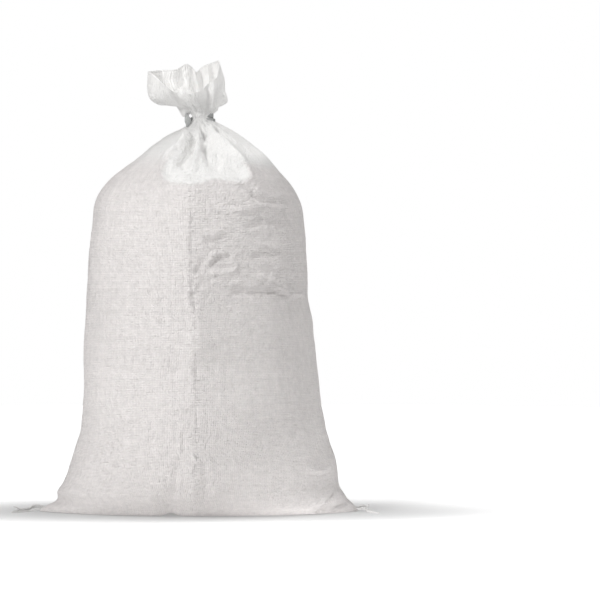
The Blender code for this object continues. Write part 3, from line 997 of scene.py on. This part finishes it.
def cloth_shade(tree, chart, height, shade, empty):
    """How light the cloth is: tapes, mottling, grain, streaks along the tapes, and painted shade where
    the tapes dip.
    """
    filled = calc(tree, "SUBTRACT", 1.0, empty)
    mottle = noise_texture(tree, chart, MOTTLE_SCALE, 3.0, 0.6)
    grain = noise_texture(tree, chart, GRAIN_SCALE, 2.0, 0.7)
    grain_shows = blend(tree, filled, EMPTY_GRAIN, GRAIN)
    patterns = ((shade, TAPE_CONTRAST), (mottle, MOTTLE), (grain, grain_shows))
    light = mottled(tree, CLOTH_LIGHTNESS, *patterns)
    # painted shade where the tapes dip, where the cloth is filled
    relief = calc(tree, "MULTIPLY", about_zero(tree, height, 0.6), filled)
    light = calc(tree, "MULTIPLY_ADD", relief, TAPE_EDGE_SHADE, light)
    streaks = calc(tree, "MULTIPLY", filled, STREAKS)
    for scales in (STREAK_SCALES, STREAK_SCALES[::-1]):
        lines = noise_texture(tree, stretched(tree, chart, *scales), 1.0)
        light = mottled(tree, light, (lines, streaks))
    return calc(tree, "MULTIPLY_ADD", empty, EMPTY_SHADE, light)


def cloth_colour(tree, light, share):
    """The cloth's colour: warmer where the fill lies behind it."""
    tint = [blend(tree, share, filled, emptied) for filled, emptied in zip(FILLED_COLOUR, EMPTY_COLOUR)]
    return tinted(tree, light, tint)


def woven_material():
    """Flat tapes in a plain weave, slightly shiny, with a painted glow where they hang empty, standing
    in for light that comes through them.
    """
    roughness = sum(CLOTH_ROUGHNESS) / 2
    material, tree, shader = new_material("woven_polypropylene", FILLED_COLOUR, roughness)
    chart = add_node(tree, "UVMap", uv_map="cloth")["UV"]
    height, shade = weave(tree, chart)
    # how empty the cloth is; the part above 1 only strengthens the painted glow
    empty = attribute(tree, "empty")
    share = calc(tree, "MINIMUM", empty, 1.0)
    colour = cloth_colour(tree, cloth_shade(tree, chart, height, shade, share), share)
    look = {
        "Base Color": colour,
        "Emission Color": colour,
        # a painted glow where the cloth is empty, in place of light coming through it
        "Emission Strength": calc(tree, "MULTIPLY", empty, PAINTED_GLOW),
        "Roughness": blend(tree, shade, *CLOTH_ROUGHNESS),
    }
    fill_in(tree, shader, look)
    wrinkled = add_bump(tree, shader, cloth_relief(tree, chart), 1.0, 1.0)
    tapes = calc(tree, "MULTIPLY", height, blend(tree, share, 1.0, EMPTY_TAPE_RELIEF))
    add_bump(tree, shader, tapes, 1.0, TAPE_RELIEF, Normal=wrinkled)
    return material


def skin(work, rings, closed=False):
    """Adds a tube through rings of points, with a lid at each end unless it closes on itself."""
    rings = [[work.verts.new(point) for point in ring] for ring in rings]
    for ring, following in zip(rings, rings[1:] + rings[:1] if closed else rings[1:]):
        for corner in range(len(ring)):
            after = (corner + 1) % len(ring)
            work.faces.new((ring[corner], ring[after], following[after], following[corner]))
    if not closed:
        work.faces.new(rings[0][::-1])
        work.faces.new(rings[-1])


def sweep(work, centres, across, normals, corners, closed=False):
    """Adds a tube round centres. A corner is its shares of the across and normal vectors."""
    rings = [centres + a * across + b * normals for a, b in corners]
    skin(work, np.stack(rings, axis=1), closed)


def frames_along(route):
    """Unit vectors along a route, and two square to it that turn as little as they can."""
    along = unit(np.gradient(route, axis=0))
    sides = [unit(np.cross(along[0], (0.0, 0.0, 1.0)))]
    for direction in along[1:]:
        sides.append(unit(sides[-1] - direction * (sides[-1] @ direction)))
    sides = np.array(sides)
    return along, sides, np.cross(along, sides)


def evenly(points, spacing):
    """Points a spacing apart on a smooth curve through the given ones."""
    route = smooth_route(points, samples=24)
    lengths = distances(route)
    at = np.linspace(0.0, lengths[-1], max(2, int(lengths[-1] / spacing)) + 1)
    return np.stack([np.interp(at, lengths, route[:, axis]) for axis in range(3)], axis=1), at


def add_strand(work, points, diameter, plies=2, rest_on_floor=True):
    """A twisted strand along a route, thinner at its far end."""
    route, lengths = evenly(points, THREAD_STATION)
    if rest_on_floor:
        route[:, 2] = np.maximum(route[:, 2], diameter / 2)
    _, side, up = frames_along(route)
    taper = 1 - THREAD_TAPER * smoothstep(0.8, 1.0, lengths / lengths[-1])
    corners = turns(THREAD_CORNERS)
    twisted = corners - 2 * pi * lengths[:, None] / THREAD_TWIST
    bumps = np.abs(np.cos(0.5 * plies * twisted))
    reach = taper[:, None] * diameter / 2 * (1 - THREAD_GROOVES * (1 - bumps))
    wide = (reach * np.cos(corners))[..., None] * side[:, None]
    high = (reach * np.sin(corners))[..., None] * up[:, None]
    skin(work, route[:, None] + wide + high)


def finish_mesh(name, work, material):
    """The object that a bmesh becomes, shaded smooth, with its faces pointing out."""
    bmesh.ops.recalc_face_normals(work, faces=work.faces)
    mesh = bpy.data.meshes.new(name)
    work.to_mesh(mesh)
    work.free()
    mesh.shade_smooth()
    return add_object(name, mesh, material)


def make_thread(name, points, material):
    work = bmesh.new()
    add_strand(work, points, THREAD_DIAMETER, THREAD_PLIES, rest_on_floor=False)
    return finish_mesh(name, work, material)


def make_strands(name, strands, material):
    work = bmesh.new()
    for points, diameter in strands:
        add_strand(work, points, diameter)
    return finish_mesh(name, work, material)


def thread_material():
    """White staple-fibre thread: matt, with fine fibres and small variations."""
    material, tree, shader = new_material("sewing_thread", (0.80, 0.795, 0.78), 0.85)
    place = object_place(tree)
    fibres = noise_texture(tree, place, 2600.0, 3.0, 0.6)
    patches = noise_texture(tree, place, 180.0, 2.0)
    light = mottled(tree, 0.60, (fibres, 0.25), (patches, 0.15))
    fill_in(tree, shader, {"Base Color": tinted(tree, light, (1.0, 0.99, 0.975))})
    add_bump(tree, shader, fibres, 0.6, 0.0003)
    return material


def tie_point(angle, stand_off, height):
    """A point beside the neck's groove, that far out."""
    wide = GROOVE_SHARE * NECK_HALF_WIDTH + TIE_SEAT + stand_off
    deep = GROOVE_SHARE * NECK_HALF_DEPTH + TIE_SEAT + stand_off
    return np.array([NECK_CENTRE + wide * cos(angle), deep * sin(angle), height])


def add_ribbon(work, stations, corners):
    """A tape with its face to the front: places and half widths along it."""
    stations = smooth_route(stations)
    along, _, _ = frames_along(stations[:, :3])
    wide = unit(np.cross(along, (0.0, 1.0, 0.0)))
    thick = np.cross(along, wide) * TIE_THICKNESS / 2
    sweep(work, stations[:, :3], wide * stations[:, 3:], thick, corners)


def make_tie():
    """The tape's two turns, its knot and its ends."""
    table = np.array(TIE_TURNS)
    at = np.linspace(table[0, 0], table[-1, 0], TIE_STATIONS)
    stations = zip(np.radians(at), *hermite(table[:, 0], table[:, 1:3], at).T)
    centres = np.array([tie_point(*station) for station in stations])
    half = hermite(table[:, 0], table[:, 3:], at)
    along, _, _ = frames_along(centres)
    out = unit(np.cross(along, (0.0, 0.0, 1.0)))
    corners = [(cos(turn), sin(turn)) for turn in turns(TIE_CORNERS)]
    work = bmesh.new()
    sweep(work, centres, np.cross(out, along) * half, out * TIE_THICKNESS / 2, corners)
    knot_centre = tie_point(pi / 2, KNOT_STAND_OFF, KNOT_HEIGHT)
    t = turns(KNOT_STATIONS)
    knot = [np.sin(t) + 2 * np.sin(2 * t), -0.9 * np.sin(3 * t), np.cos(t) - 2 * np.cos(2 * t)]
    route = knot_centre + KNOT_SIZE * np.stack(knot, axis=1)
    _, side, high = frames_along(np.vstack([route, route[:1]]))
    sweep(work, route, side[:-1] * KNOT_TAPE, high[:-1] * KNOT_TAPE * 0.7, corners, closed=True)
    for end in TIE_ENDS:
        add_ribbon(work, np.array(end) + (*knot_centre, 0.0), corners)
    add_ribbon(work, TIE_LOOP, corners)
    return finish_mesh("neck_tape", work, tape_material())


def tape_material():
    """Grey polyethylene tape, ribbed lengthwise and creased where it is pulled tight."""
    material, tree, shader = new_material("grey_tape", (0.30, 0.305, 0.30), 0.38)
    place = object_place(tree)
    ribs = noise_texture(tree, stretched(tree, place, 220.0, 220.0, 1400.0), 1.0)
    creases = noise_texture(tree, place, 420.0, 3.0)
    light = mottled(tree, 0.38, (creases, 0.20), (ribs, 0.14))
    roughness = calc(tree, "MULTIPLY_ADD", creases, 0.25, 0.28)
    fill_in(tree, shader, {"Base Color": tinted(tree, light, (0.98, 1.0, 0.99)), "Roughness": roughness})
    add_bump(tree, shader, ribs, 0.6, 0.0004)
    return material


def sand_material():
    """Dry building sand: grains of several shades."""
    material, tree, shader = new_material("building_sand", (0.50, 0.42, 0.31), 0.95)
    place = object_place(tree)
    grains = add_node(tree, "TexVoronoi", {"Vector": place, "Scale": 900.0})
    shade = add_node(tree, "SeparateColor", {"Color": grains["Color"]})
    damp = noise_texture(tree, place, 14.0, 3.0)
    light = calc(tree, "MULTIPLY_ADD", shade["Red"], 0.35, 0.30)
    light = mottled(tree, light, (damp, 0.20))
    fill_in(tree, shader, {"Base Color": tinted(tree, light, (1.0, 0.85, 0.64))})
    add_bump(tree, shader, grains["Distance"], 0.7, 0.0006)
    return material


def step_up(tree, value, start, end, low, high):
    """A value that rises smoothly from low to high while another goes from start to end."""
    inputs = {"Value": value, "From Min": start, "From Max": end, "To Min": low, "To Max": high}
    return add_node(tree, "MapRange", inputs, interpolation_type="SMOOTHSTEP")["Result"]


def add_floor():
    """A round white floor, which glows more where the softboxes don't reach."""
    work = bmesh.new()
    bmesh.ops.create_circle(work, cap_ends=True, segments=96, radius=FLOOR_RADIUS)
    mesh = bpy.data.meshes.new("floor")
    work.to_mesh(mesh)
    work.free()
    material, tree, shader = new_material("studio_floor", (FLOOR_COLOUR,) * 3, 0.9)
    seen = add_node(tree, "LightPath")["Is Camera Ray"]
    place = add_node(tree, "NewGeometry")["Position"]
    far = vector_calc(tree, "LENGTH", place)
    near = vector_calc(tree, "LENGTH", stretched(tree, place, FOOT_SHADOW_SHAPE, 1.0))
    start, end, darkest = FOOT_SHADOW
    shadow = step_up(tree, near, start, end, darkest, 1.0)
    glow = step_up(tree, far, FLOOR_GLOWS_FROM, FLOOR_RADIUS, FLOOR_GLOW, FLOOR_FAR_GLOW)
    x, y, size, more = FLOOR_BRIGHT_SPOT
    away = vector_calc(tree, "DISTANCE", place, (x, y, 0.0))
    bounce = step_up(tree, away, 0.0, size, FLOOR_BOUNCE_GLOW + more, FLOOR_BOUNCE_GLOW)
    albedo = calc(tree, "MULTIPLY", shadow, FLOOR_COLOUR)
    look = {
        "Base Color": blend(tree, seen, FLOOR_BOUNCE_COLOUR, albedo),
        "Emission Color": (1.0, 1.0, 1.0, 1.0),
        "Emission Strength": blend(tree, seen, bounce, calc(tree, "MULTIPLY", glow, shadow)),
    }
    fill_in(tree, shader, look)
    add_object("floor", mesh, material)


def add_light(name, place, size, power):
    data = bpy.data.lights.new(name, "AREA")
    data.shape = "DISK"
    data.size = size
    data.energy = power
    light = add_object(name, data)
    light.location = place
    aim(light, LIT_POINT)


def add_studio():
    """Soft light from everywhere, with a backdrop that looks white, and softboxes."""
    world = bpy.data.worlds.new("studio")
    world.use_nodes = True
    tree = world.node_tree
    seen = add_node(tree, "LightPath")["Is Camera Ray"]
    glow = blend(tree, seen, AMBIENT, BACKDROP)
    fill_in(tree, tree.nodes["Background"], {"Color": (1.0, 1.0, 1.0, 1.0), "Strength": glow})
    bpy.context.scene.world = world
    bpy.context.scene.view_settings.view_transform = "Standard"
    for light in SOFTBOXES:
        add_light(*light)


add_camera()
white_thread = thread_material()
ends = (("left", THREAD_LEFT, STRANDS_LEFT), ("right", THREAD_RIGHT, STRANDS_RIGHT))
for side, points, strands in ends:
    loose = make_strands(f"loose_strands_{side}", strands, white_thread)
    tail = make_thread(f"sewing_thread_{side}", points, white_thread)
    for piece in (loose, tail):
        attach(piece, "root")
        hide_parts(f"thread_tail_{side}")

sack = make_sack()
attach(sack, "root")
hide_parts("woven_sack")

contents = make_contents()
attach(contents, "root")
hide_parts("fill")

tie = make_tie()
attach(tie, "root")
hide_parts("neck_tie")

add_floor()
add_studio()
